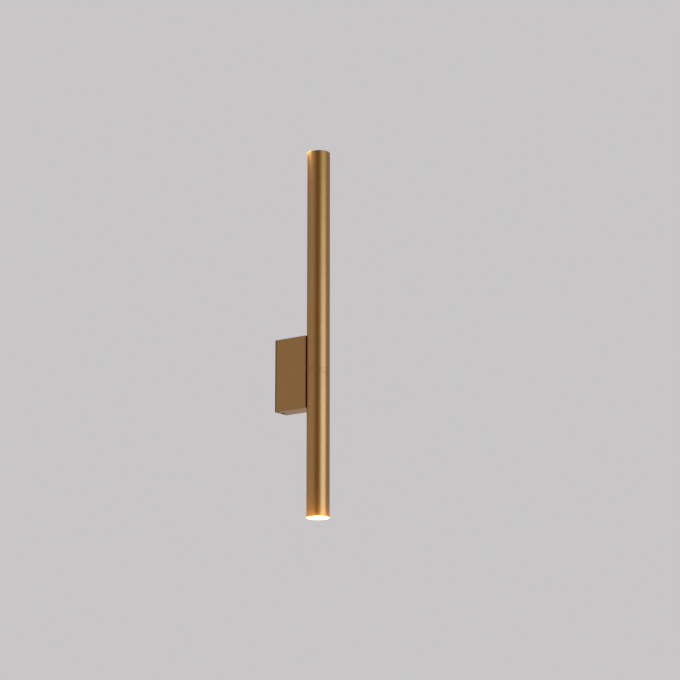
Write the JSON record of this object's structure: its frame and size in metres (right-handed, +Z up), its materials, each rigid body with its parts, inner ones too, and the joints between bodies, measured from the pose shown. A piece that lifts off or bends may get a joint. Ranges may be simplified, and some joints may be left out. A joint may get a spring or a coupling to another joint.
{
  "type": "tube wall light",
  "caption": "Slim round tube up and down wall light on a narrow rectangular wall box, with twist-lock lamps in both ends of the tube.",
  "frame": {"origin": "on the wall plane, at the middle of the mounting box height and width: the centre of the wall bracket back face", "axes": "+Z up along the tube, +Y into the wall, -Y out into the room, +X to the right as seen from the room"},
  "size_m": [0.04, 0.101, 0.65],
  "materials": {
    "bronze_paint": "satin champagne bronze paint with a fine metallic flake",
    "zinc_steel": "zinc-plated, dull",
    "black_steel": "blackened",
    "black_rubber": "matt",
    "white_polyamide": "matt moulded",
    "brass": "turned",
    "nickel_brass": "nickel-plated",
    "tinned_copper": "tinned",
    "earth_insulation": "silicone rubber, green with a yellow stripe",
    "live_insulation": "silicone rubber, brown",
    "neutral_insulation": "silicone rubber, blue",
    "plain_aluminium": "turned",
    "white_ceramic": "glazed",
    "lamp_white": "white powder coat",
    "lamp_white_plastic": "moulded",
    "circuit_board": "solder mask",
    "white_board": "white solder mask",
    "phosphor": "silicone dome",
    "reflector": "metallised",
    "lit_lens": "lit diffuser"
  },
  "bodies": {
    "fixture": {"box_grub_screw": "black_steel", "cable_grommet": "black_rubber", "coupling_core": "bronze_paint", "earth_lug": "tinned_copper", "earth_screw": "zinc_steel", "earth_wire": "earth_insulation", "lower_carrier_disc": "plain_aluminium", "lower_holder_contacts": "brass", "lower_holder_screws": "zinc_steel", "lower_lampholder": "white_ceramic", "lower_live_wire": "live_insulation", "lower_neutral_wire": "neutral_insulation", "lower_standoff_screws": "zinc_steel", "lower_standoffs": "brass", "lower_stem": "zinc_steel", "lower_stem_nuts": "zinc_steel", "lower_tube": "bronze_paint", "mounting_box": "bronze_paint", "terminal_block": "white_polyamide", "terminal_fixing_screw": "zinc_steel", "terminal_inserts": "brass", "terminal_screws": "zinc_steel", "tube_fixing_screws": "zinc_steel", "tube_fixing_washers": "zinc_steel", "upper_carrier_disc": "plain_aluminium", "upper_holder_contacts": "brass", "upper_holder_screws": "zinc_steel", "upper_lampholder": "white_ceramic", "upper_live_wire": "live_insulation", "upper_neutral_wire": "neutral_insulation", "upper_standoff_screws": "zinc_steel", "upper_standoffs": "brass", "upper_stem": "zinc_steel", "upper_stem_nuts": "zinc_steel", "upper_tube": "bronze_paint", "wall_bracket": "zinc_steel", "wire_bush": "black_rubber"},
    "upper_lamp": {"upper_lamp_body": "lamp_white", "upper_lamp_base": "lamp_white_plastic", "upper_lamp_pins": "nickel_brass", "upper_driver_board": "circuit_board", "upper_led_board": "white_board", "upper_led_chip": "phosphor", "upper_lamp_optic": "reflector", "upper_lamp_lens": "lit_lens"},
    "lower_lamp": {"lower_lamp_body": "lamp_white", "lower_lamp_base": "lamp_white_plastic", "lower_lamp_pins": "nickel_brass", "lower_driver_board": "circuit_board", "lower_led_board": "white_board", "lower_led_chip": "phosphor", "lower_lamp_optic": "reflector", "lower_lamp_lens": "lit_lens"}
  },
  "joints": [
    {"name": "upper_lamp_twist", "type": "hinge", "parent": "fixture", "child": "upper_lamp", "pos_m": [0, -0.081, 0.395], "axis": [0, 0, 1], "range_deg": [0, 45]},
    {"name": "lower_lamp_twist", "type": "hinge", "parent": "fixture", "child": "lower_lamp", "pos_m": [0, -0.081, -0.255], "axis": [0, 0, -1], "range_deg": [0, 45]}
  ]
}
